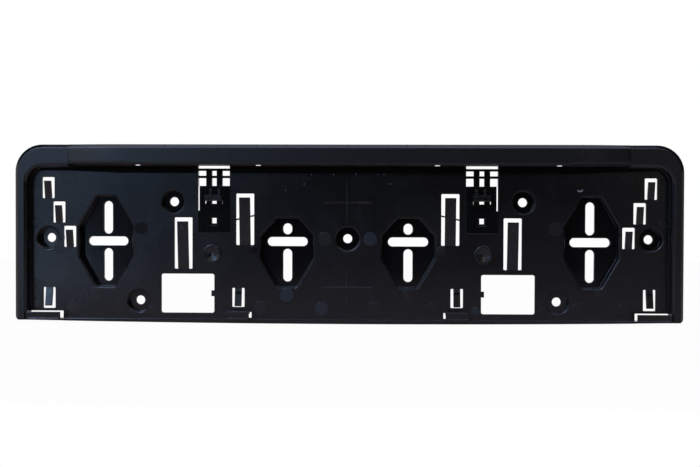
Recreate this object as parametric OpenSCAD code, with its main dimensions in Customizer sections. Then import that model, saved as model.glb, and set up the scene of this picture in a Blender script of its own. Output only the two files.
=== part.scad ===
// Number plate holder, moulded in one piece of black plastic.
// X runs across the holder, Z points up and the front faces -Y.
// The origin is midway between the two outer screw holes, on the rear plane.
// A depth is a distance in front of that plane, so a point at depth d lies at Y = -d.

/* [Plate] */
// Width of the number plate that slides in
plate_w = 520; // [514:1:530]
// Play between the plate and each side wall
plate_play = 0.5; // [0.2:0.1:1.5]
// Height of the open recess, from the bottom edge to the lip of the top rim
recess_h = 124.5; // [122:0.5:132]
// Height of the middle row of screws above the bottom edge
screw_line_h = 66; // [65.5:0.5:67]

/* [Rim] */
// Width of the rim beside the recess
rim_side_w = 9.5; // [8.5:0.5:14]
// Width of the rim above the recess
rim_top_w = 17.5; // [15:0.5:24]
// How far the rim stands in front of the panel
recess_depth = 12; // [9:0.5:16]
// Outer radius of the two top corners
corner_r = 22; // [16:1:26]
// Inner radius of the two top corners
recess_corner_r = 13.4; // [8:0.2:18]
// Outer radius of the two bottom corners
foot_r = 3.5; // [1:0.5:6]
// Bevel along the outer front edge
edge_bevel = 2.8; // [1:0.2:3.6]
// Bevel along the inner front edge
lip_bevel = 2; // [0.8:0.2:3]
// Thickness of every outer wall
wall = 2.2; // [1.6:0.1:2.8]

/* [Hood] */
// Length of the part of the top rim that stands forward
hood_w = 453; // [420:1:480]
// How far the hood stands in front of the rim
hood_out = 6; // [3:0.5:9]
// Height of the small step where the hood starts
hood_step = 1; // [0.4:0.2:2]
// Length of the ramp between that step and the full hood
hood_ramp = 31; // [15:1:50]
// Length over which that ramp eases into the level front
hood_ease = 13; // [6:1:14]
// How much higher the lip of the hood sits than the lip beside it
hood_lip_rise = 1.3; // [0.4:0.1:2]
// Bevel along the lip of the hood
hood_lip_bevel = 1.4; // [0.6:0.2:2.4]
// Distance between the ribs inside the top rim
rim_rib_pitch = 49.2; // [40:0.2:60]
// Thickness of those ribs
rib_t = 1.6; // [1:0.1:2.4]

/* [Panel] */
// Thickness of the panel
panel_t = 2.2; // [1.8:0.1:3]
// Space between the rear plane and the back of the panel
standoff = 10.3; // [8.5:0.1:14]
// How far the skirt hangs below the panel at its ends
skirt_drop = 1.5; // [1:0.1:2.4]
// How much further it hangs in the middle
skirt_bow = 2.1; // [0.5:0.1:3]
// How far the lip of the skirt stands in front of the panel
skirt_lip = 0.8; // [0.4:0.1:1.4]
// Thickness of the ribs behind the panel
back_rib_t = 1.2; // [0.8:0.1:2]
// Depth of the ribs behind the panel
back_rib_h = 6; // [3:0.5:8]
// Space between the small seats and the arched rib behind the panel
arch_lift = 4.6; // [1:0.2:7]
// Radius of the arched rib behind the panel
arch_r = 380; // [300:10:500]

/* [Screw wells] */
// Diameter of every screw hole and width of every screw slot
screw_hole_d = 7.4; // [6:0.2:8.6]
// Inner radius of the wells
well_r = 9.1; // [8:0.1:10]
// Inner radius of the well in the middle
centre_well_r = 9.7; // [8:0.1:11]
// Thickness of the wall around each well
well_wall = 1.5; // [1:0.1:1.8]
// Thickness of the floor of each well
well_floor = 2.5; // [1.8:0.1:3]
// Bevel around the mouth of each well
well_bevel = 0.8; // [0.3:0.1:1.2]
// Space that the inner wells keep from the rear plane
inner_well_gap = 3; // [1:0.5:5]
// Outer screws: distance from the side wall
outer_screw_inset = 14.5; // [14:0.1:16]
// Upper screws: distance from the middle
upper_screw_x = 143; // [138:0.1:148]
// Upper screws: height above the middle row
upper_screw_z = 30; // [27:0.5:33]
// Lower screws: distance from the middle
lower_screw_x = 171; // [168:0.1:174]
// Lower screws: drop below the middle row
lower_screw_z = 51.2; // [49:0.1:52]

/* [Octagon seats] */
// Width of the seats
seat_w = 43.4; // [42:0.2:46]
// Length of the flat at the top and bottom of each seat
seat_flat = 15.4; // [14:0.2:18]
// Thickness of the floor of each seat
seat_floor_t = 3; // [2:0.1:4]
// Thickness of the wall around each seat
seat_wall_t = 2; // [1.5:0.1:2.5]
// Radius in the corners of each seat
seat_corner_r = 2.4; // [1.4:0.2:4]
// Bevel around the mouth of each seat
seat_bevel = 1.2; // [0.4:0.1:1.4]
// Drop of the middle of the slots below the middle row of screws
seat_drop = 2.6; // [1:0.1:4]
// Half height of the large seats
large_seat_half_h = 37; // [36:0.5:39]
// Half height of their straight sides
seat_side_half_h = 13; // [10:0.5:15]
// Large seats: distance of the middle from the side wall
large_seat_inset = 62.2; // [61:0.1:66]
// Small seats: distance of the middle from the middle of the holder
small_seat_x = 49.6; // [46:0.1:52]
// Height of the small seats above the middle of their slots
small_seat_top = 19.4; // [17:0.1:22]
// Length of the flat at the top of the small seats
small_seat_flat = 17.4; // [14:0.2:20]
// Height of their straight sides above the middle of their slots
small_seat_side_top = 5; // [4:0.5:8]
// Length of the slots that run across
cross_slot_len = 33; // [30:0.2:35]
// Length of the slots that run up and down
long_slot_len = 27; // [24:0.2:28]
// Length of the short slot above the middle in the small seats
short_slot_len = 9; // [8.8:0.1:11]
// Web between the crossing slots
slot_web = 2.3; // [1.4:0.1:3]

/* [Spring tabs] */
// Width of the windows around the small tabs
small_window_w = 10.1; // [9:0.1:11]
// Height of those windows
small_window_h = 17.2; // [16:0.1:19]
// Width of the small tabs
small_tab_w = 5.6; // [4.4:0.1:6]
// How far the tip of a small tab stands in front of the panel
small_tab_lean = 3; // [1:0.5:4]
// Gap beyond the tip of a small tab
small_tab_gap = 3; // [2:0.1:4]
// Staggered tabs: distance of the first from the side wall
stagger_inset = 14.8; // [13:0.1:15]
// Staggered tabs: step towards the middle
stagger_dx = 8.9; // [8.8:0.1:10]
// Staggered tabs: step down
stagger_dz = 20; // [19:0.1:21]
// Staggered tabs: height of the first window above the middle row of screws
stagger_top = 49.8; // [48:0.1:51]
// Number of staggered tabs on each side
stagger_count = 3; // [1:1:3]
// Bottom corner tabs: distance from the side wall
low_tab_inset = 15.5; // [14:0.1:17]
// Bottom corner tabs: drop of the top of the window below the middle row
low_tab_drop = 40.5; // [39:0.1:41.5]
// Gap beyond the tip of a bottom corner tab
low_tab_gap = 2.1; // [1.5:0.1:3]
// Catch tabs: height of their windows
catch_window_h = 15.6; // [14:0.1:16]
// Gap beyond the tip of a catch tab
catch_tab_gap = 0.8; // [0.5:0.1:1.5]
// Width of the windows around the tall tabs
tall_window_w = 14.7; // [14:0.1:16]
// Height of those windows
tall_window_h = 42; // [38:0.5:43]
// Width of the tall tabs
tall_tab_w = 9; // [7:0.1:9.5]
// How far the tip of a tall tab stands in front of the panel
tall_tab_lean = 5; // [1:0.5:6]
// Gap beyond the tip of a tall tab
tall_tab_gap = 3.2; // [2:0.1:4]
// Inner tall tabs: distance from the middle
tall_in_x = 83.7; // [82:0.1:84.5]
// Inner tall tabs: height of the top of the window
tall_in_top = 36.7; // [34:0.1:39]
// Outer tall tabs: distance from the middle
tall_out_x = 134.3; // [132:0.1:136]
// Outer tall tabs: height of the top of the window
tall_out_top = 17.1; // [15:0.1:17.5]
// Thickness at the tip of every tab
tab_tip_t = 2.1; // [1.2:0.1:2.4]

/* [Windows] */
// Width of the two large windows
window_w = 43.5; // [40:0.5:45]
// Height of the two large windows
window_h = 32; // [30:0.5:33]
// Distance of the windows from the middle
window_x = 130.7; // [130:0.1:133]
// Height of the windows above the bottom edge
window_lift = 5; // [4:0.5:6]
// Corner radius of the windows
window_r = 1.8; // [0.6:0.2:3]
// Reach of the small nose at the inner edge of each window
nose_reach = 2.4; // [1:0.2:3]
// Height of that nose
nose_h = 4.8; // [3:0.2:6]

/* [Clips] */
// Distance of the clips from the middle
clip_x = 109.3; // [108.7:0.1:111]
// Width of the clip openings
clip_w = 25.8; // [24:0.2:26]
// Top of the sprung pad, above the middle row of screws
clip_pad_top = 42.9; // [42:0.1:44]
// Height of the sprung pad
clip_pad_h = 38.5; // [36:0.5:39.5]
// How far the pad stands in front of the panel
clip_pad_rise = 0.8; // [0.4:0.1:1.4]
// How far the clip openings stay below the lip of the hood
clip_top_gap = 0.5; // [0.2:0.1:1]
// Width of the slit beside the pad
clip_slit_w = 1.2; // [0.8:0.1:1.8]
// Length of that slit
clip_slit_len = 20; // [16:0.5:24]
// Width of the ledge on the pad
ledge_w = 13.6; // [12:0.2:15]
// How far the ledge stands in front of the pad
ledge_reach = 4.6; // [3:0.2:6]
// Drop of the ledge below the top of the pad
ledge_drop = 7.4; // [7:0.2:9]
// Height of the ledge
ledge_h = 4.2; // [3.8:0.2:5]
// Height of the front face of the ledge
ledge_face_h = 3.5; // [1:0.1:3.7]
// Height of the slot under the ledge
ledge_slot_h = 2.2; // [1.6:0.1:3]
// Web between the ledge and that slot
ledge_web = 0.7; // [0.4:0.1:1.2]
// How much wider that slot is than the ledge
ledge_slot_extra = 0.8; // [0.4:0.1:1.6]
// Width of the rails behind the clip
rail_w = 4.8; // [3.6:0.1:5]
// Distance between the rails
rail_gap = 3.8; // [3.4:0.1:5]
// Thickness of the rails and of the bars between them
rail_t = 3.6; // [2.4:0.2:4]
// Lower end of the rails, above the middle row of screws
rail_low = 10.5; // [8:0.1:12]
// Height of the bar that joins the lower ends of the rails
rail_foot_h = 1.8; // [1:0.1:2.4]
// Width of the hole at the lower end of the rails
pad_hole_w = 7; // [5:0.2:8]
// Height of that hole
pad_hole_h = 6; // [4:0.2:7]
// Top of that hole, above the middle row of screws
pad_hole_top = 16.7; // [15:0.1:18]
// Height of the two small ribs above the ledge
gusset_h = 5; // [3:0.2:6]
// Thickness of those ribs
gusset_t = 1.6; // [0.8:0.1:2.2]
// Height of the bars across the opening
grate_bar_h = 2; // [0.8:0.1:2.4]

/* [Bottom edge] */
// Length of the fingers in the two bottom corners
finger_len = 27.2; // [24:0.1:30]
// How far the side rims reach below the bottom edge of the panel
foot_drop = 0.4; // [0.2:0.1:0.9]
// Height of the top of the fingers above the bottom edge
finger_h = 6; // [5:0.1:6.4]
// Thickness of the fingers and of the catches
finger_t = 2.2; // [1.8:0.1:2.8]
// Gap above each finger
finger_gap = 0.2; // [0.1:0.1:1.2]
// Distance of the catches from the middle
catch_x = 89.2; // [88:0.1:92]
// Width of the catches
catch_w = 18.7; // [16:0.1:20]
// Height of the top of the catches above the bottom edge
catch_h = 6.7; // [6:0.1:7]
// Width of the slit beside each catch
catch_slit_w = 1.5; // [1:0.1:2]
// How far that slit stays below the top of the catch
catch_slit_drop = 0.9; // [0.4:0.1:1.4]
// How far the catches stand in front of the panel
catch_reach = 8; // [6:0.5:9]
// Width of the border around the pocket in each finger and catch
pocket_border = 1.3; // [1:0.1:1.8]
// Depth of that pocket
pocket_depth = 0.6; // [0.3:0.1:1]

/* [Slits under the hood] */
// Width of the slits under the lip of the hood
lip_slit_w = 4; // [3:0.1:5]
// Height of those slits
lip_slit_h = 0.7; // [0.6:0.1:1.4]
// Distance of the inner slits from the middle
lip_slit_in = 73; // [66:1:80]
// Distance of the outer slits from the middle
lip_slit_out = 172; // [165:1:180]

/* [Small marks] */
// Distance of the round bosses from the middle
boss_x = 110.9; // [109:0.1:112]
// Drop of the round bosses below the middle row of screws
boss_drop = 12.8; // [11:0.1:14]
// Radius of the round bosses
boss_r = 7.3; // [6:0.1:8]
// Height of the round bosses
boss_h = 1.8; // [0.6:0.1:2.4]
// Width of the level edge around the dished middle of the bosses
boss_edge = 1.2; // [0.8:0.1:2]
// Width of the raised cross lines
line_w = 0.9; // [0.6:0.1:1.4]
// Height of the raised cross lines
line_h = 0.5; // [0.2:0.1:0.8]
// Length of the cross lines that run across
line_len = 39.8; // [30:0.2:44]

/* [Hidden] */
$fn = 96;
// Overlap that makes cuts run past a face and joins pieces
cut = 1;
join = 0.4;
// Space between the panel's lower edge and the skirt that shows in the corner notches
skirt_gap = 0.1;
// Radius in the corners of the tab windows
window_corner = 0.8;
// Length of the lines that run up and down in the two crosses
upper_line_len = 33;
lower_line_len = 30;
// Heights of the middles of the two crosses
upper_cross_z = 29.6;
lower_cross_z = -39.8;
// How far the vertical lines reach above the middle of each cross
upper_line_up = 17.4;
lower_line_up = 13.2;
// Heights of the bars across the clip opening
grate_z = [55.2, 49.3];
// Where the gussets stand across the ledge, outwards from the middle of the clip
gusset_x = [2.6, -4.4];
// Height left in the middle of the dished bosses
boss_floor = 0.3;
// Thickness of the flat shapes that hull() joins into bevels
flat_t = 0.1;
// Segments of each rounded seat corner, of the bowed skirt and of the eased ramp
corner_steps = 4;
bow_steps = 16;
ease_steps = 3;

recess_half_w = plate_w / 2 + plate_play;
half_w = recess_half_w + rim_side_w;
bottom_z = -screw_line_h;
foot_z = bottom_z - foot_drop;
skirt_top = bottom_z - skirt_gap;
lip_z = bottom_z + recess_h;
hood_lip_z = lip_z + hood_lip_rise;
top_z = lip_z + rim_top_w;
panel_face = standoff + panel_t;
rim_front = panel_face + recess_depth;
hood_front = rim_front + hood_out;
hood_half_w = hood_w / 2;
hood_flat_half_w = hood_half_w - hood_ramp;
hole_r = screw_hole_d / 2;
outer_screw_x = recess_half_w - outer_screw_inset;
large_seat_x = recess_half_w - large_seat_inset;
slot_offset = hole_r + slot_web;
window_top = bottom_z + window_lift + window_h;
finger_top = bottom_z + finger_h;
catch_top = bottom_z + catch_h;
clip_out = clip_x + clip_w / 2;
clip_in = clip_x - clip_w / 2;
pad_face = panel_face + clip_pad_rise;
ledge_top = clip_pad_top - ledge_drop;
ledge_bottom = ledge_top - ledge_h;

// Draws a flat shape between two depths, with its X and Y turned into X and Z
module at_depth(near, far) {
    rotate([90, 0, 0]) translate([0, 0, near]) linear_extrude(far - near) children();
}

// Runs a side profile of [Y, Z] points along X, centred
module run_x(length) {
    rotate([90, 0, 90]) translate([0, 0, -length / 2]) linear_extrude(length) children();
}

module both_sides() {
    children();
    mirror([1, 0, 0]) children();
}

// A rectangle from z0 to z1 with one radius at the top and one at the bottom
module round_box(half, z0, z1, r_top, r_bottom) {
    r = max(r_top, r_bottom);
    translate([-half, z0 + r_bottom]) square([2 * half, z1 - z0 - r_top - r_bottom]);
    translate([-half + r, z0]) square([2 * (half - r), z1 - z0]);
    for (side = [-1, 1]) {
        translate([side * (half - r_top), z1 - r_top]) circle(r_top);
        translate([side * (half - r_bottom), z0 + r_bottom]) circle(r_bottom);
    }
    translate([-half + r_bottom, z0]) square([2 * (half - r_bottom), r_bottom]);
    translate([-half + r_top, z1 - r_top]) square([2 * (half - r_top), r_top]);
}

// A slot with round ends, along X
module round_slot(length) {
    square([length - screw_hole_d, screw_hole_d], center = true);
    for (side = [-1, 1]) translate([side * (length - screw_hole_d) / 2, 0]) circle(hole_r);
}

function unit(v) = v / norm(v);
function turned(v) = [v[1], -v[0]];

// Moves every edge of a convex outline outwards by t; points run anticlockwise
function grown(p, t) = [
    for (i = [0:len(p) - 1])
        let (before = p[(i + len(p) - 1) % len(p)], after = p[(i + 1) % len(p)])
        let (n1 = turned(unit(p[i] - before)), n2 = turned(unit(after - p[i])))
        p[i] + t * (n1 + n2) / (1 + n1 * n2)
];

// Rounds every corner of a convex outline
function rounded(p, r) = [
    for (i = [0:len(p) - 1])
        let (before = p[(i + len(p) - 1) % len(p)], after = p[(i + 1) % len(p)])
        let (n1 = turned(unit(p[i] - before)), n2 = turned(unit(after - p[i])))
        let (centre = p[i] - r * (n1 + n2) / (1 + n1 * n2))
        for (k = [0:corner_steps])
            centre + r * unit(n1 * (1 - k / corner_steps) + n2 * k / corner_steps)
];

// Outline of an octagon seat about the middle of its slots
function seat_outline(top, side_top, top_flat) = [
    [-seat_flat / 2, -large_seat_half_h],
    [seat_flat / 2, -large_seat_half_h],
    [seat_w / 2, -seat_side_half_h],
    [seat_w / 2, side_top],
    [top_flat / 2, top],
    [-top_flat / 2, top],
    [-seat_w / 2, side_top],
    [-seat_w / 2, -seat_side_half_h],
];
large_seat = seat_outline(large_seat_half_h, seat_side_half_h, seat_flat);
small_seat = seat_outline(small_seat_top, small_seat_side_top, small_seat_flat);

// Bevel of the outer front edge: straight at the sides and top, a cone at the corners
module outer_bevel() {
    corner_x = half_w - corner_r;
    corner_z = top_z - corner_r;
    profile = [
        [-edge_bevel, 0], [0, -edge_bevel], [cut, -edge_bevel], [cut, cut], [-edge_bevel, cut],
    ];
    translate([0, -rim_front, 0]) both_sides() {
        translate([half_w, 0, bottom_z - cut])
            linear_extrude(corner_z - bottom_z + cut)
                polygon([for (p = profile) [p[0], -p[1]]]);
        translate([corner_x, 0, corner_z]) rotate([90, 0, 0])
            rotate_extrude(angle = 90) translate([corner_r, 0]) polygon(profile);
    }
    translate([0, -rim_front, top_z])
        run_x(2 * corner_x) polygon([for (p = profile) [-p[1], p[0]]]);
}

// The mouth of the recess, which opens out towards the front
module recess_bevel() {
    corner_x = recess_half_w - recess_corner_r;
    corner_z = lip_z - recess_corner_r;
    deep = rim_front - lip_bevel;
    reach = lip_bevel + cut;
    both_sides() {
        translate([0, 0, bottom_z - cut])
            linear_extrude(corner_z - bottom_z + cut)
                polygon([
                    [corner_x, -deep], [recess_half_w, -deep],
                    [recess_half_w + reach, -deep - reach], [corner_x, -deep - reach],
                ]);
        translate([corner_x, -deep, corner_z]) rotate([90, 0, 0])
            cylinder(h = reach, r1 = recess_corner_r, r2 = recess_corner_r + reach);
    }
    run_x(2 * corner_x)
        polygon([
            [-deep, corner_z], [-deep - reach, corner_z],
            [-deep - reach, lip_z + reach], [-deep, lip_z],
        ]);
}

module rim_block() {
    difference() {
        at_depth(0, rim_front) round_box(half_w, foot_z, top_z, corner_r, foot_r);
        outer_bevel();
        recess_bevel();
    }
}

// Front line of the right half of the hood, seen from above: it steps out, ramps up
// and eases into the level front
hood_corner = [hood_flat_half_w, -hood_front];
function eased(t) =
    let (before = hood_corner + hood_ease * unit([hood_ramp, hood_out - hood_step]))
    let (after = hood_corner - [hood_ease, 0])
    (1 - t) * (1 - t) * before + 2 * t * (1 - t) * hood_corner + t * t * after;
hood_line = concat(
    [[hood_half_w, -rim_front - hood_step]],
    [for (i = [0:ease_steps]) eased(i / ease_steps)]
);

module hood_plan(side_inset, front_inset, back) {
    last = len(hood_line) - 1;
    half = hood_half_w - side_inset;
    right = [for (p = hood_line) [min(p[0], half), p[1] + front_inset]];
    polygon(concat(
        [[half, -back]],
        right,
        [for (i = [0:last]) [-right[last - i][0], right[last - i][1]]],
        [[-half, -back]]
    ));
}

// The hood as one convex block, bevelled along its top and along its lip
module hood_block() {
    back = rim_front - lip_bevel - wall;
    full_z = hood_lip_z + hood_lip_bevel;
    hull() {
        translate([0, 0, lip_z]) linear_extrude(flat_t)
            hood_plan(0, hood_lip_rise + hood_lip_bevel, back);
        translate([0, 0, full_z]) linear_extrude(top_z - edge_bevel - full_z)
            hood_plan(0, 0, back);
        translate([0, 0, top_z - flat_t]) linear_extrude(flat_t)
            hood_plan(0, edge_bevel, back);
    }
}

// Everything behind the front walls: the space behind the panel and inside the rim
module rear_hollows() {
    inner_lip_z = hood_lip_z + wall;
    at_depth(-cut, standoff)
        round_box(half_w - wall, foot_z + wall, top_z - wall, corner_r - wall, foot_r);
    at_depth(-cut, rim_front - wall) difference() {
        round_box(half_w - wall, foot_z + wall, top_z - wall, corner_r - wall, foot_r);
        round_box(recess_half_w + wall, bottom_z, inner_lip_z, recess_corner_r + wall, wall);
    }
    translate([0, 0, inner_lip_z]) linear_extrude(top_z - edge_bevel - wall / 2 - inner_lip_z)
        hood_plan(wall, wall, rim_front - wall - cut);
}

// Ribs that stiffen the hollow top rim
module rim_ribs() {
    count = floor(hood_flat_half_w / rim_rib_pitch);
    for (i = [-count:count]) translate([i * rim_rib_pitch, 0, 0])
        run_x(rib_t)
            polygon([
                [-standoff, hood_lip_z + wall / 2],
                [-hood_front + wall / 2, hood_lip_z + wall / 2 + hood_lip_bevel],
                [-hood_front + wall / 2, top_z - edge_bevel - wall / 2],
                [-rim_front, top_z - wall / 2], [-standoff, top_z - wall / 2],
            ]);
}

// The skirt along the bottom edge, which bows down towards the middle
module skirt(near, far, half) {
    at_depth(near, far)
        polygon(concat(
            [[half, skirt_top], [-half, skirt_top]],
            [for (i = [0:bow_steps])
                let (x = half * (2 * i / bow_steps - 1), t = x / recess_half_w)
                [x, bottom_z - skirt_drop - skirt_bow * (1 - t * t)]]
        ));
}

// Clears the space between the panel and the rear plane right down to the skirt
module skirt_space() {
    at_depth(-cut, standoff) translate([-recess_half_w, skirt_top])
        square([2 * recess_half_w, foot_drop + 2 * wall]);
}

module shell() {
    difference() {
        union() {
            rim_block();
            hood_block();
            skirt(0, panel_face, recess_half_w);
        }
        rear_hollows();
        skirt_space();
        at_depth(panel_face, hood_front + cut)
            round_box(recess_half_w, bottom_z - 3 * foot_r, lip_z, recess_corner_r, foot_r);
        at_depth(panel_face, hood_front + cut)
            translate([-hood_half_w, lip_z - cut]) square([hood_w, hood_lip_rise + cut]);
    }
    rim_ribs();
}

// Screw wells
module well_places() {
    both_sides() {
        translate([outer_screw_x, 0, 0]) children(0);
        translate([upper_screw_x, 0, upper_screw_z]) children(1);
        translate([lower_screw_x, 0, -lower_screw_z]) children(1);
    }
}

module well_cup(r, back) {
    at_depth(back, standoff + join) circle(r + well_wall);
}

module well_space(r, back) {
    at_depth(back + well_floor, panel_face + cut) circle(r);
    at_depth(-cut, standoff) circle(hole_r);
    rotate([90, 0, 0]) translate([0, 0, panel_face - well_bevel])
        cylinder(h = well_bevel + cut, r1 = r, r2 = r + well_bevel + cut);
}

// Octagon seats: deep trays whose floors carry slots for the screws
module seat_places() {
    both_sides() {
        translate([large_seat_x, 0, -seat_drop]) children(0);
        translate([small_seat_x, 0, -seat_drop]) children(1);
    }
}

module seat_cup(outline) {
    at_depth(0, standoff + join)
        polygon(rounded(grown(outline, seat_wall_t), seat_corner_r + seat_wall_t));
}

module seat_space(outline) {
    at_depth(seat_floor_t, panel_face + cut) polygon(rounded(outline, seat_corner_r));
    // The bevelled mouth; both ends lie clear of the faces that it cuts
    hull() for (end = [[-seat_bevel - cut, -cut], [cut, seat_bevel + cut]])
        at_depth(panel_face + end[0], panel_face + end[0] + flat_t)
            polygon(rounded(grown(outline, end[1]), seat_corner_r + end[1]));
}

module seat_slots(upper_len) {
    at_depth(-cut, standoff) {
        round_slot(cross_slot_len);
        translate([0, slot_offset + upper_len / 2]) rotate(90) round_slot(upper_len);
        translate([0, -slot_offset - long_slot_len / 2]) rotate(90) round_slot(long_slot_len);
    }
}

// Spring tabs: an opening in the panel with a tab rooted at one end of it
module tab_window(top, width, height) {
    at_depth(standoff - cut, panel_face + cut)
        round_box(width / 2, top - height, top, window_corner, window_corner);
}

// The tab runs up (1) or down (-1) from its root and leans out to the front
module spring_tab(root, way, length, width, lean) {
    run_x(width)
        polygon([
            [-standoff, root - way * join], [-panel_face, root - way * join],
            [-panel_face, root],
            [-panel_face - lean, root + way * length],
            [-panel_face - lean + tab_tip_t, root + way * length],
            [-standoff, root + way * wall],
        ]);
}

module stagger_places() {
    both_sides() for (i = [0:stagger_count - 1])
        translate([recess_half_w - stagger_inset - i * stagger_dx, 0, stagger_top - i * stagger_dz])
            children();
}

module tab_windows() {
    stagger_places() tab_window(0, small_window_w, small_window_h);
    both_sides() {
        translate([recess_half_w - low_tab_inset, 0, 0])
            tab_window(-low_tab_drop, small_window_w, small_window_h);
        translate([catch_x, 0, 0]) tab_window(-low_tab_drop, small_window_w, catch_window_h);
        translate([tall_in_x, 0, 0]) tab_window(tall_in_top, tall_window_w, tall_window_h);
        translate([tall_out_x, 0, 0]) tab_window(tall_out_top, tall_window_w, tall_window_h);
    }
}

module tabs() {
    tall_len = tall_window_h - tall_tab_gap;
    stagger_places()
        spring_tab(-small_window_h, 1, small_window_h - small_tab_gap, small_tab_w, small_tab_lean);
    both_sides() {
        translate([recess_half_w - low_tab_inset, 0, 0])
            spring_tab(-low_tab_drop, -1, small_window_h - low_tab_gap, small_tab_w, small_tab_lean);
        translate([catch_x, 0, 0])
            spring_tab(-low_tab_drop, -1, catch_window_h - catch_tab_gap, small_tab_w, small_tab_lean);
        translate([tall_in_x, 0, 0])
            spring_tab(tall_in_top - tall_window_h, 1, tall_len, tall_tab_w, tall_tab_lean);
        translate([tall_out_x, 0, 0])
            spring_tab(tall_out_top - tall_window_h, 1, tall_len, tall_tab_w, tall_tab_lean);
    }
}

// The two large windows, each with a small nose at its inner edge
module large_window() {
    translate([window_x, 0, 0]) at_depth(standoff - cut, panel_face + cut)
        round_box(window_w / 2, window_top - window_h, window_top, window_r, window_r);
}

module window_nose() {
    at_depth(standoff, panel_face)
        translate([window_x - window_w / 2 - join, window_top - window_h / 2 - nose_h / 2])
            square([nose_reach + join, nose_h]);
}

// Clips
module clip_cuts() {
    at_depth(standoff - cut, panel_face + cut) {
        translate([clip_in, clip_pad_top]) square([clip_w, hood_lip_z - clip_top_gap - clip_pad_top]);
        translate([clip_out - clip_slit_w, clip_pad_top - clip_slit_len])
            square([clip_slit_w, clip_slit_len + join]);
        translate([clip_x - (ledge_w + ledge_slot_extra) / 2, ledge_bottom - ledge_web - ledge_slot_h])
            square([ledge_w + ledge_slot_extra, ledge_slot_h]);
        translate([clip_x - pad_hole_w / 2, pad_hole_top - pad_hole_h])
            square([pad_hole_w, pad_hole_h]);
    }
}

module clip_pad() {
    at_depth(panel_face - join, pad_face)
        translate([clip_in, clip_pad_top - clip_pad_h]) square([clip_w, clip_pad_h]);
}

module clip_ledge() {
    translate([clip_x, 0, 0]) {
        run_x(ledge_w)
            polygon([
                [-panel_face, ledge_top], [-pad_face, ledge_top],
                [-pad_face - ledge_reach, ledge_bottom + ledge_face_h],
                [-pad_face - ledge_reach, ledge_bottom], [-panel_face, ledge_bottom],
            ]);
        for (x = gusset_x) translate([x, 0, 0])
            run_x(gusset_t)
                polygon([
                    [-panel_face, ledge_top + gusset_h], [-pad_face, ledge_top + gusset_h],
                    [-pad_face - ledge_reach / 2, ledge_top - ledge_h / 2],
                    [-panel_face, ledge_top - ledge_h / 2],
                ]);
    }
}

// The rails behind each clip and the thin bars that cross its opening
module clip_rails() {
    back = standoff - rail_t;
    translate([clip_x, 0, 0]) {
        at_depth(back, standoff + join) for (side = [-1, 1])
            translate([side * (rail_gap + rail_w) / 2 - rail_w / 2, rail_low])
                square([rail_w, grate_z[0] + grate_bar_h - rail_low]);
        at_depth(back, standoff + join) translate([-rail_gap / 2 - join, rail_low])
            square([rail_gap + 2 * join, rail_foot_h]);
        at_depth(back, standoff) for (z = grate_z)
            translate([-clip_w / 2 - wall, z]) square([clip_w + 2 * wall, grate_bar_h]);
    }
    // Walls beside the opening carry the ends of the thin bars
    at_depth(back, standoff + join) for (x = [clip_in - wall, clip_out])
        translate([x, clip_pad_top]) square([wall, hood_lip_z + wall / 2 - clip_pad_top]);
}

// Bottom corners: a notch in the panel and a finger in front of it
module corner_notch() {
    at_depth(standoff - cut, panel_face + cut)
        translate([recess_half_w - finger_len, skirt_top])
            square([finger_len, finger_top + finger_gap - skirt_top]);
}

module front_plate(x0, x1, z0, z1, face) {
    difference() {
        at_depth(face - finger_t, face) translate([x0, z0]) square([x1 - x0, z1 - z0]);
        at_depth(face - pocket_depth, face + cut)
            translate([x0 + pocket_border, z0 + pocket_border])
                square([x1 - x0 - 2 * pocket_border, z1 - z0 - 2 * pocket_border]);
    }
}

module corner_finger() {
    front_plate(recess_half_w - finger_len, recess_half_w + join, foot_z, finger_top, rim_front);
}

// Catches in the bottom edge: a shelf that reaches forward and turns down
module catch_slot() {
    x0 = catch_x - catch_w / 2;
    low = bottom_z + wall / 2;
    at_depth(standoff - cut, panel_face + cut) {
        translate([x0 - catch_slit_w, low])
            square([catch_slit_w, catch_top - catch_slit_drop - low]);
        translate([x0 - join, low]) square([catch_w + join, catch_top - finger_t - low]);
    }
}

module catch_hook() {
    x0 = catch_x - catch_w / 2;
    face = panel_face + catch_reach;
    at_depth(standoff, face) translate([x0, catch_top - finger_t]) square([catch_w, finger_t]);
    front_plate(x0, x0 + catch_w, bottom_z, catch_top, face);
}

// Slits under the lip of the hood
module lip_slits() {
    both_sides() for (x = [lip_slit_in, lip_slit_out])
        at_depth(standoff - cut, panel_face + cut)
            translate([x - lip_slit_w / 2, hood_lip_z + join - lip_slit_h])
                square([lip_slit_w, lip_slit_h]);
}

// Ribs behind the panel: an arch between the clips and a post through the middle screw
module back_ribs() {
    arch_top = small_seat_top + seat_wall_t + back_rib_t + arch_lift;
    at_depth(standoff - back_rib_h, standoff + join) {
        intersection() {
            translate([0, arch_top - arch_r]) difference() {
                circle(arch_r, $fn = 360);
                circle(arch_r - back_rib_t, $fn = 360);
            }
            translate([-clip_in + wall, 0]) square([2 * (clip_in - wall), arch_top + cut]);
        }
        translate([-back_rib_t / 2, skirt_top - join])
            square([back_rib_t, hood_lip_z + wall - skirt_top + join]);
        for (side = [-1, 1])
            translate([side * lower_screw_x - back_rib_t / 2, skirt_top - join])
                square([back_rib_t, -lower_screw_z - skirt_top + join]);
    }
}

module round_boss() {
    translate([0, -panel_face, 0]) rotate([90, 0, 0]) rotate_extrude()
        polygon([
            [0, -join], [boss_r, -join], [boss_r, boss_h], [boss_r - boss_edge, boss_h],
            [0, boss_floor],
        ]);
}

// Thin raised lines that cross
module cross_mark(z, line_up, upright_len) {
    at_depth(panel_face - join, panel_face + line_h) {
        translate([-line_len / 2, z - line_w / 2]) square([line_len, line_w]);
        translate([-line_w / 2, z + line_up - upright_len]) square([line_w, upright_len]);
    }
}

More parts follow.
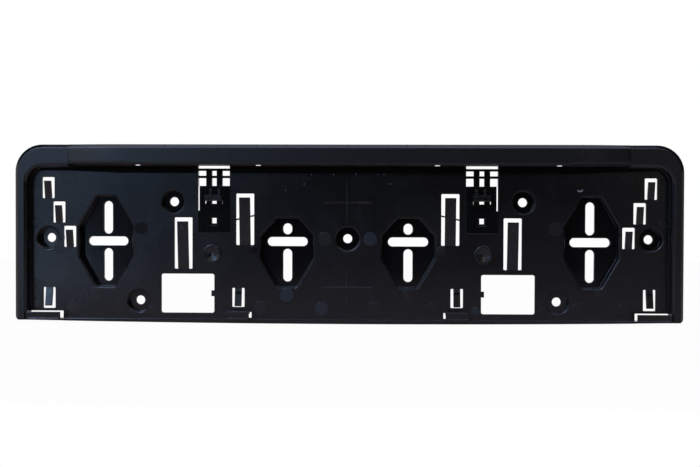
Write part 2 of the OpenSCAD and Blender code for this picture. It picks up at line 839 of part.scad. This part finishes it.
module holder() {
    color("dimgray") {
        difference() {
            union() {
                shell();
                well_places() {
                    well_cup(well_r, 0);
                    well_cup(well_r, inner_well_gap);
                }
                well_cup(centre_well_r, inner_well_gap);
                seat_places() {
                    seat_cup(large_seat);
                    seat_cup(small_seat);
                }
                back_ribs();
                both_sides() clip_pad();
            }
            well_places() {
                well_space(well_r, 0);
                well_space(well_r, inner_well_gap);
            }
            well_space(centre_well_r, inner_well_gap);
            seat_places() {
                seat_space(large_seat);
                seat_space(small_seat);
            }
            seat_places() {
                seat_slots(long_slot_len);
                seat_slots(short_slot_len);
            }
            tab_windows();
            lip_slits();
            both_sides() {
                large_window();
                clip_cuts();
                corner_notch();
                catch_slot();
            }
        }
        tabs();
        skirt(standoff, panel_face + skirt_lip, recess_half_w - finger_len);
        both_sides() {
            window_nose();
            clip_ledge();
            clip_rails();
            corner_finger();
            catch_hook();
            translate([boss_x, 0, -boss_drop]) round_boss();
        }
        cross_mark(upper_cross_z, upper_line_up, upper_line_len);
        cross_mark(lower_cross_z, lower_line_up, lower_line_len);
    }
}

holder();
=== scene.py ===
import math

import bmesh
import bpy
from mathutils import Matrix, Vector
from mathutils.bvhtree import BVHTree


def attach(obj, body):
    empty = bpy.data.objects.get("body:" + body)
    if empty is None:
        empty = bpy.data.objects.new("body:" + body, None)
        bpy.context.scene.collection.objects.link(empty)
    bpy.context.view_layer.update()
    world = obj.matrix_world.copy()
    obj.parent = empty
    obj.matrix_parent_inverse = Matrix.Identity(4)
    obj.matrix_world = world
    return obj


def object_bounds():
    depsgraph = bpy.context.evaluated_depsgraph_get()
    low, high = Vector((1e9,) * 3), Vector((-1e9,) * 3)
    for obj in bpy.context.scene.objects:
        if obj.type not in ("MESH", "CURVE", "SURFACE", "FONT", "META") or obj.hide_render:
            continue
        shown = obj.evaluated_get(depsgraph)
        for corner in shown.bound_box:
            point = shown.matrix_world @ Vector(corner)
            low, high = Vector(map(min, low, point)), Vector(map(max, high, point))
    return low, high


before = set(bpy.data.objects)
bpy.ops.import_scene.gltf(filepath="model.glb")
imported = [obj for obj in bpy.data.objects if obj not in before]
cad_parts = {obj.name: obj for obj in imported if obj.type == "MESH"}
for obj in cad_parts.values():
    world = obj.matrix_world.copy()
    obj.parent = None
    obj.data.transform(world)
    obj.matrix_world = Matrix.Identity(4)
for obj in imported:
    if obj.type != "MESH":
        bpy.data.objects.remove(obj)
cad_box = [list(map(float, corner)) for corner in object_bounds()]

# Lengths are in millimetres where a name or a comment doesn't say metres
MM = 0.001

# Planes of the holder that face the front, ahead of the rear plane
PANEL = 12.5
CLIP_PAD = 13.3
CATCH_POCKET = 19.9
CATCH = 20.5
FINGER_POCKET = 23.9
RIM = 24.5
HOOD = 30.5
PLANE_REACH = 0.2
RIM_REACH = 0.3
HOOD_REACH = 0.1

# Walls and floors of the recesses are smoother from this deep below the panel
MOUTH = 1.4

# So is the band under the lip, whose lower edge rises from beside the hood to the corners
BAND_LOW, BAND_SIDE = 53.4, 55.2
BAND_TAPER = (185, 230)

# The soft rounding of the hood's ramps, which stops short of the top, and that of all other edges
RAMP_START = 178
RAMP_SOFTNESS = 4.0
RAMP_TOP_MARGIN = 4.6
EDGE = 0.8
BEVEL_SAMPLES = 8

BLACK = (0.0032, 0.0032, 0.0034)
TINT_SPREAD = 0.2
SPECULAR = 0.4
PANEL_ROUGH = 0.27
RECESS_ROUGH = 0.14
BAND_ROUGH = 0.06
RIM_ROUGH = 0.34
CATCH_ROUGH = 0.42
ROUGH_SPREAD = 0.035
NOISE_SPAN = (0.3, 0.7)
GRAIN_STRENGTH = 0.2
GRAIN_HEIGHT = 0.04


def node_tree(name):
    mat = bpy.data.materials.new(name)
    mat.use_nodes = True
    tree = mat.node_tree
    tree.nodes.clear()
    out = tree.nodes.new("ShaderNodeOutputMaterial")
    return mat, tree, out


def add(tree, kind, **inputs):
    """A node, with an underscore for each space in the names of its inputs."""
    n = tree.nodes.new(kind)
    for key, value in inputs.items():
        n.inputs[key.replace("_", " ")].default_value = value
    return n


def math_node(tree, operation, first, second=0.0):
    """The result of a maths node; first is a socket, second a socket or a number."""
    n = tree.nodes.new("ShaderNodeMath")
    n.operation = operation
    tree.links.new(first, n.inputs[0])
    if isinstance(second, float):
        n.inputs[1].default_value = second
    else:
        tree.links.new(second, n.inputs[1])
    return n.outputs["Value"]


def map_range(tree, value, source, target):
    """The value mapped from the source span to the target span, which it never leaves."""
    n = add(tree, "ShaderNodeMapRange", From_Min=source[0], From_Max=source[1],
            To_Min=target[0], To_Max=target[1])
    tree.links.new(value, n.inputs["Value"])
    return n.outputs["Result"]


def blend_value(tree, factor, first, second):
    """first where factor is 0 and second where it is 1; each is a socket or a number."""
    n = tree.nodes.new("ShaderNodeMix")
    tree.links.new(factor, n.inputs["Factor"])
    for key, value in (("A", first), ("B", second)):
        if isinstance(value, float):
            n.inputs[key].default_value = value
        else:
            tree.links.new(value, n.inputs[key])
    return n.outputs["Result"]


def blend_shader(tree, factor, first, second, out):
    """Gives out the shader first where factor is 0 and second where it is 1."""
    mix = tree.nodes.new("ShaderNodeMixShader")
    tree.links.new(factor, mix.inputs["Fac"])
    tree.links.new(first, mix.inputs[1])
    tree.links.new(second, mix.inputs[2])
    tree.links.new(mix.outputs["Shader"], out.inputs["Surface"])


def near_plane(tree, where, plane):
    """1 close to that plane ahead of the rear plane, else 0."""
    near = math_node(tree, "COMPARE", where.outputs["Y"], -plane * MM)
    near.node.inputs[2].default_value = PLANE_REACH * MM
    return near


def zone_roughness(tree, where, side, base, recess, rim):
    """The roughness base, changed in the recesses, the band, the rim and the catches."""
    band_edge = map_range(tree, side, [x * MM for x in BAND_TAPER],
                          (BAND_LOW * MM, BAND_SIDE * MM))
    in_band = math_node(tree, "GREATER_THAN", where.outputs["Z"], band_edge)
    in_recess = math_node(tree, "GREATER_THAN", where.outputs["Y"], -(PANEL - MOUTH) * MM)
    for plane in (CLIP_PAD, CATCH_POCKET, FINGER_POCKET):
        in_recess = math_node(tree, "MAXIMUM", in_recess, near_plane(tree, where, plane))
    on_rim = math_node(tree, "LESS_THAN", where.outputs["Y"], -(RIM - RIM_REACH) * MM)
    on_catch = near_plane(tree, where, CATCH)
    roughness = base
    for mask, value in ((in_recess, recess), (in_band, BAND_ROUGH), (on_rim, rim),
                        (on_catch, CATCH_ROUGH)):
        roughness = blend_value(tree, mask, roughness, value)
    return roughness


def soft_edges(tree, where, side):
    """The normal with all edges rounded, and the hood's ramps much more than the rest."""
    bevel = tree.nodes.new("ShaderNodeBevel")
    bevel.samples = BEVEL_SAMPLES
    ramp_top = cad_box[1][2] - RAMP_TOP_MARGIN * MM
    by_ramp = math_node(tree, "GREATER_THAN", side, RAMP_START * MM)
    on_hood = math_node(tree, "LESS_THAN", where.outputs["Y"], -(RIM + HOOD_REACH) * MM)
    below_top = math_node(tree, "LESS_THAN", where.outputs["Z"], ramp_top)
    on_ramp = math_node(tree, "MULTIPLY", math_node(tree, "MULTIPLY", by_ramp, on_hood), below_top)
    radius = blend_value(tree, on_ramp, EDGE * MM, RAMP_SOFTNESS * MM)
    tree.links.new(radius, bevel.inputs["Radius"])
    return bevel.outputs["Normal"]


def plastic(name, tint=BLACK, rough=PANEL_ROUGH, recess_rough=RECESS_ROUGH, rim_rough=RIM_ROUGH):
    """Black moulded plastic: fine grain, uneven gloss, smoother in the recesses."""
    mat, tree, out = node_tree(name)
    link = tree.links.new
    coord = tree.nodes.new("ShaderNodeTexCoord")
    where = tree.nodes.new("ShaderNodeSeparateXYZ")
    link(coord.outputs["Object"], where.inputs[0])
    side = math_node(tree, "ABSOLUTE", where.outputs["X"])
    shader = tree.nodes.new("ShaderNodeBsdfPrincipled")
    shader.inputs["Specular IOR Level"].default_value = SPECULAR
    link(shader.outputs["BSDF"], out.inputs["Surface"])

    fine = add(tree, "ShaderNodeTexNoise", Scale=2600.0, Detail=3.0, Roughness=0.6)
    broad = add(tree, "ShaderNodeTexNoise", Scale=22.0, Detail=4.0, Roughness=0.6, Distortion=0.8)
    cloud = add(tree, "ShaderNodeTexNoise", Scale=140.0, Detail=5.0, Roughness=0.65)
    for n in (fine, broad, cloud):
        link(coord.outputs["Object"], n.inputs["Vector"])

    colour = tree.nodes.new("ShaderNodeValToRGB")
    for stop, position, share in zip(colour.color_ramp.elements, NOISE_SPAN,
                                     (1 - TINT_SPREAD, 1 + TINT_SPREAD)):
        stop.position = position
        stop.color = (*(c * share for c in tint), 1)
    link(cloud.outputs["Fac"], colour.inputs["Fac"])
    link(colour.outputs["Color"], shader.inputs["Base Color"])

    gloss = map_range(tree, broad.outputs["Fac"], NOISE_SPAN,
                      (rough - ROUGH_SPREAD, rough + ROUGH_SPREAD))
    roughness = zone_roughness(tree, where, side, gloss, recess_rough, rim_rough)
    link(roughness, shader.inputs["Roughness"])

    bump = add(tree, "ShaderNodeBump", Strength=GRAIN_STRENGTH, Distance=GRAIN_HEIGHT * MM)
    link(fine.outputs["Fac"], bump.inputs["Height"])
    link(soft_edges(tree, where, side), bump.inputs["Normal"])
    link(bump.outputs["Normal"], shader.inputs["Normal"])
    return mat


body_mat = plastic("black_plastic")
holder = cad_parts["holder"]
for slot in holder.material_slots:
    slot.material = body_mat

# Marks of the mould stand on the front: a ray from before the holder finds the surface there
RAY_START = -60
front = BVHTree.FromObject(holder, bpy.context.evaluated_depsgraph_get())

# A disc is sunk a little into the surface and has a narrow bevel
DISC_SIDES = 40
DISC_SUNK = 0.05
BEVEL_DROP = 0.02
BEVEL_WIDTH = 0.06


def surface(x, z):
    """Point and normal of the front surface at x and z."""
    point, normal, _, _ = front.ray_cast(Vector((x, RAY_START, z)) * MM, Vector((0, 1, 0)))
    return point, normal


def bridge(mesh, lower, upper):
    """Faces all round between two rings of as many vertices."""
    for i in range(len(lower)):
        j = (i + 1) % len(lower)
        mesh.faces.new((lower[i], lower[j], upper[j], upper[i]))


def disc(mesh, x, z, radius, height, inner=0.0):
    """A flat disc, or a ring where inner is given, that stands height above the surface."""
    point, normal = surface(x, z)
    place = Matrix.Translation(point) @ normal.to_track_quat("Z", "Y").to_matrix().to_4x4()
    bottom, shoulder, top = -DISC_SUNK * MM, (height - BEVEL_DROP) * MM, height * MM
    outline = [(radius, bottom), (radius, shoulder), (radius - BEVEL_WIDTH, top)]
    if inner:
        outline += [(inner + BEVEL_WIDTH, top), (inner, shoulder), (inner, bottom)]
    turns = [2 * math.pi * i / DISC_SIDES for i in range(DISC_SIDES)]
    rings = []
    for r, level in outline:
        rings.append([
            mesh.verts.new(place @ Vector((r * MM * math.cos(t), r * MM * math.sin(t), level)))
            for t in turns
        ])
    for lower, upper in zip(rings, rings[1:]):
        bridge(mesh, lower, upper)
    if inner:
        bridge(mesh, rings[-1], rings[0])
    else:
        mesh.faces.new(rings[0][::-1])
        mesh.faces.new(rings[-1])


def piece(name, mesh, mat):
    """Turns the bmesh into a piece that rides on the holder."""
    bmesh.ops.recalc_face_normals(mesh, faces=mesh.faces)
    data = bpy.data.meshes.new(name)
    mesh.to_mesh(data)
    mesh.free()
    ob = bpy.data.objects.new(name, data)
    bpy.context.scene.collection.objects.link(ob)
    data.materials.append(mat)
    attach(ob, "root")


def discs(name, places, mat):
    """A piece of flat discs; places holds (x, z, radius) of each."""
    mesh = bmesh.new()
    for x, z, radius in places:
        disc(mesh, x, z, radius, MARK_HEIGHT)
    piece(name, mesh, mat)


def both(*places):
    """Each place on the left, and the same one on the right."""
    return [(side * x, z, r) for x, z, r in places for side in (-1, 1)]


# Marks of the ejector pins
MARK_HEIGHT = 0.06
LARGE_PIN = 5.7
SMALL_PIN = 3.75
faint = plastic("pin_faint", rough=0.36)
warm = plastic("pin_warm", tint=(0.0055, 0.0052, 0.0055), rough=0.16)
bluish = plastic("pin_bluish", tint=(0.0075, 0.0105, 0.0145), rough=0.37)

discs("pin_marks_faint",
      both((228.3, 49.8, LARGE_PIN), (255.5, 44.6, SMALL_PIN), (255.5, 12.1, SMALL_PIN))
      + [(169.4, 8.3, LARGE_PIN), (21.1, -57.1, LARGE_PIN), (49.5, -46.5, LARGE_PIN),
         (-71.2, -56.7, LARGE_PIN), (71.2, -56.7, LARGE_PIN), (207, -46, LARGE_PIN),
         (225, -56.8, LARGE_PIN), (187.7, -57.2, LARGE_PIN), (76.5, -9.6, SMALL_PIN),
         (-236.4, -8.9, SMALL_PIN), (-18.5, -0.2, LARGE_PIN), (159.1, -59.2, SMALL_PIN)], faint)
discs("pin_marks_warm",
      [(-169.4, 8.3, LARGE_PIN), (-207, -46, LARGE_PIN), (-225, -56.8, LARGE_PIN),
       (-187.7, -57.2, LARGE_PIN), (-254.6, -54.3, SMALL_PIN), (-160, -59.5, SMALL_PIN),
       (-76.5, -9.6, SMALL_PIN)], warm)
discs("pin_marks_bluish",
      [(-49.5, -46.5, LARGE_PIN), (-21.1, -57.1, LARGE_PIN), (18.5, -0.2, LARGE_PIN),
       (104.3, -58.8, SMALL_PIN)], bluish)

# Marks on the tall tabs: a disc on each outer one and a ring on the left inner one
TAB_MARK = (134.7, 8.0, 2.4)
TAB_RING = (-83.7, 15.1, 2.4)
TAB_RING_HEIGHT = 0.08
TAB_RING_INNER = 1.9
discs("tab_marks", both(TAB_MARK), warm)
rings = bmesh.new()
disc(rings, *TAB_RING, TAB_RING_HEIGHT, TAB_RING_INNER)
piece("tab_ring", rings, warm)

# Small pips in the upper middle, painted pale as glints
PIP_R = 0.45
PIPS = ((-29.5, 52.5), (-11.5, 52.5), (7.0, 52.6), (24.7, 52.6), (29.6, 52.6),
        (-35.4, 44.6), (33.7, 44.8), (35.7, 44.8), (-50.6, 39.5))
pips = bmesh.new()
for x, z in PIPS:
    point, _ = surface(x, z)
    bmesh.ops.create_uvsphere(pips, u_segments=16, v_segments=8, radius=PIP_R * MM,
                              matrix=Matrix.Translation(point))
# The pale tint is a painted glint on each pip, not the plastic's colour
piece("pips", pips, plastic("pip_painted_glint", tint=(0.16, 0.16, 0.17), rough=0.3))

# Fine lines across the hood where the melt met, straight or slanted
LINES = (-146.2, -96.5, -48.9, 0.8, 47.6, 188.0)
SLANTED = (-69.0, 66.6)
LINE_W, LINE_LOW, LINE_HIGH, SLANT = 0.35, 65.5, 76.0, 4.0
LINE_SUNK, LINE_HEIGHT = 0.05, 0.04
lines = bmesh.new()
for x in LINES + SLANTED:
    lean = SLANT if x in SLANTED else 0.0
    corners = [(x, LINE_LOW), (x + LINE_W, LINE_LOW),
               (x + LINE_W - lean, LINE_HIGH), (x - lean, LINE_HIGH)]
    back = [lines.verts.new(Vector((cx, -HOOD + LINE_SUNK, cz)) * MM) for cx, cz in corners]
    fore = [lines.verts.new(Vector((cx, -HOOD - LINE_HEIGHT, cz)) * MM) for cx, cz in corners]
    lines.faces.new(back)
    lines.faces.new(fore[::-1])
    bridge(lines, back, fore)
line_mat = plastic("line_plastic", tint=(0.012, 0.013, 0.016), rough=0.36, rim_rough=0.4)
piece("flow_lines", lines, line_mat)

# The crescent that the gate left at the upper right: a tube that swells from both ends, painted
# pale as a glint
GATE = (188.5, 40.2)
GATE_R = (2.0, 1.0)
GATE_FROM, GATE_SWEEP = -190, 240
GATE_THIN, GATE_SWELL, GATE_FLATNESS = 0.1, 0.42, 0.7
GATE_STEPS, GATE_SIDES = 24, 10
gate = bmesh.new()
tube = []
for i in range(GATE_STEPS + 1):
    along = i / GATE_STEPS
    t = math.radians(GATE_FROM + GATE_SWEEP * along)
    thick = GATE_THIN + GATE_SWELL * math.sin(math.pi * along)
    point, _ = surface(GATE[0] + GATE_R[0] * math.cos(t), GATE[1] + GATE_R[1] * math.sin(t))
    outward = Vector((math.cos(t), 0, math.sin(t)))
    forward = Vector((0, -GATE_FLATNESS, 0))
    ring = []
    for k in range(GATE_SIDES):
        u = 2 * math.pi * k / GATE_SIDES
        offset = (outward * math.cos(u) + forward * math.sin(u)) * thick
        ring.append(gate.verts.new(point + offset * MM))
    tube.append(ring)
for lower, upper in zip(tube, tube[1:]):
    bridge(gate, lower, upper)
gate.faces.new(tube[0][::-1])
gate.faces.new(tube[-1])
# The light grey tint is a painted highlight on the crescent, not the plastic's colour
piece("gate_mark", gate, plastic("gate_painted_glint", tint=(0.42, 0.42, 0.44), rough=0.35))

# The stage: a pale sheet under the holder, in metres, that the camera sees almost white
FLOOR_HALF, FLOOR_FRONT, FLOOR_BACK = 1.3, -0.42, 1.3
FLOOR_GAP = 0.0002
FLOOR_COLOUR = (0.56, 0.44, 0.36)
FLOOR_SEEN_WHITE = 0.97
floor_mat, tree, out = node_tree("floor_white")
diffuse = add(tree, "ShaderNodeBsdfDiffuse", Color=(*FLOOR_COLOUR, 1))
glow = add(tree, "ShaderNodeEmission", Color=(1, 1, 1, 1), Strength=1.0)
path = tree.nodes.new("ShaderNodeLightPath")
shine = math_node(tree, "MULTIPLY", path.outputs["Is Camera Ray"], FLOOR_SEEN_WHITE)
blend_shader(tree, shine, diffuse.outputs["BSDF"], glow.outputs["Emission"], out)

floor_mesh = bpy.data.meshes.new("floor")
floor_mesh.from_pydata([(-FLOOR_HALF, FLOOR_FRONT, 0), (FLOOR_HALF, FLOOR_FRONT, 0),
                        (FLOOR_HALF, FLOOR_BACK, 0), (-FLOOR_HALF, FLOOR_BACK, 0)],
                       [], [(0, 1, 2, 3)])
floor = bpy.data.objects.new("floor", floor_mesh)
floor.location = (0, 0, cad_box[0][2] - FLOOR_GAP)
bpy.context.scene.collection.objects.link(floor)
floor.data.materials.append(floor_mat)

# White to the camera all round, and behind the holder also to what mirrors or shines through
BEHIND = 0.3
world = bpy.data.worlds.new("studio")
bpy.context.scene.world = world
world.use_nodes = True
tree = world.node_tree
tree.nodes.clear()
out = tree.nodes.new("ShaderNodeOutputWorld")
white = add(tree, "ShaderNodeBackground", Color=(1, 1, 1, 1), Strength=1.0)
dim = add(tree, "ShaderNodeBackground", Color=(0.85, 0.9, 1.0, 1), Strength=0.02)
path = tree.nodes.new("ShaderNodeLightPath")
way = tree.nodes.new("ShaderNodeTexCoord")
axes = tree.nodes.new("ShaderNodeSeparateXYZ")
tree.links.new(way.outputs["Generated"], axes.inputs[0])
behind = math_node(tree, "GREATER_THAN", axes.outputs["Y"], BEHIND)
bent = math_node(tree, "MAXIMUM", path.outputs["Is Glossy Ray"],
                 path.outputs["Is Transmission Ray"])
bent_behind = math_node(tree, "MULTIPLY", behind, bent)
sees_white = math_node(tree, "MAXIMUM", path.outputs["Is Camera Ray"], bent_behind)
blend_shader(tree, sees_white, dim.outputs["Background"], white.outputs["Background"], out)


def softbox(name, place, size, power, colour):
    """A softbox in metres and watts that faces the origin."""
    lamp = bpy.data.lights.new(name, "AREA")
    lamp.shape = "RECTANGLE"
    lamp.size, lamp.size_y = size
    lamp.energy = power
    lamp.color = colour
    ob = bpy.data.objects.new(name, lamp)
    ob.location = place
    ob.rotation_euler = (-Vector(place)).to_track_quat("-Z", "Y").to_euler()
    bpy.context.scene.collection.objects.link(ob)


softbox("overhead", (0, -0.15, 1.9), (2.4, 0.4), 12, (0.7, 0.76, 1.0))
softbox("top", (-0.1, -0.75, 1.8), (2.2, 0.4), 18, (0.38, 0.58, 1.0))
softbox("top_left", (-1.0, -0.8, 1.5), (0.7, 0.7), 23, (0.67, 0.69, 1.0))
softbox("top_right", (1.0, -0.8, 1.5), (0.7, 0.7), 5, (0.9, 0.85, 1.0))
softbox("far_left", (-1.75, -0.95, 0.45), (0.5, 0.5), 2.5, (0.35, 0.6, 1.0))
softbox("left", (-1.4, -1.4, 0.5), (0.5, 0.5), 3.1, (0.95, 0.97, 1.0))
softbox("left_low", (-0.78, -1.78, 0.4), (0.45, 0.35), 2.8, (0.4, 0.62, 1.0))
softbox("left_floor", (-0.8, -1.7, -0.13), (0.2, 0.12), 0.55, (0.5, 0.7, 1.0))
softbox("right", (0.85, -1.75, 0.2), (0.3, 0.3), 0.3, (1.0, 0.98, 1.0))
softbox("front_left", (-1.0, -1.6, 0.85), (0.6, 0.4), 8, (0.42, 0.63, 1.0))
softbox("front", (0.1, -1.75, 0.9), (1.3, 0.15), 2.5, (1.0, 0.95, 0.95))
softbox("behind", (0.3, 1.5, 0.95), (1.2, 0.6), 10, (0.95, 0.97, 1.0))

# The camera at the photograph's angle; place in metres, angles in degrees
PHOTO_WIDTH_PX = 700
FOCAL_LENGTH_PX = 1169.7
SENSOR_WIDTH = 36.0
CAMERA_PLACE = (0.02811, -0.966, 0.02195)
YAW, PITCH, ROLL = 1.5648, -1.0543, 0.1821
scene = bpy.context.scene
cam_data = bpy.data.cameras.new("camera")
cam = bpy.data.objects.new("camera", cam_data)
scene.collection.objects.link(cam)
scene.camera = cam
cam_data.sensor_width = SENSOR_WIDTH
cam_data.lens = FOCAL_LENGTH_PX / PHOTO_WIDTH_PX * SENSOR_WIDTH
cam.location = CAMERA_PLACE
yaw = Matrix.Rotation(math.radians(YAW), 4, "Z")
pitch = Matrix.Rotation(math.radians(90 + PITCH), 4, "X")
roll = Matrix.Rotation(math.radians(ROLL), 4, "Z")
cam.rotation_euler = (yaw @ pitch @ roll).to_euler()

scene.view_settings.view_transform = "Standard"
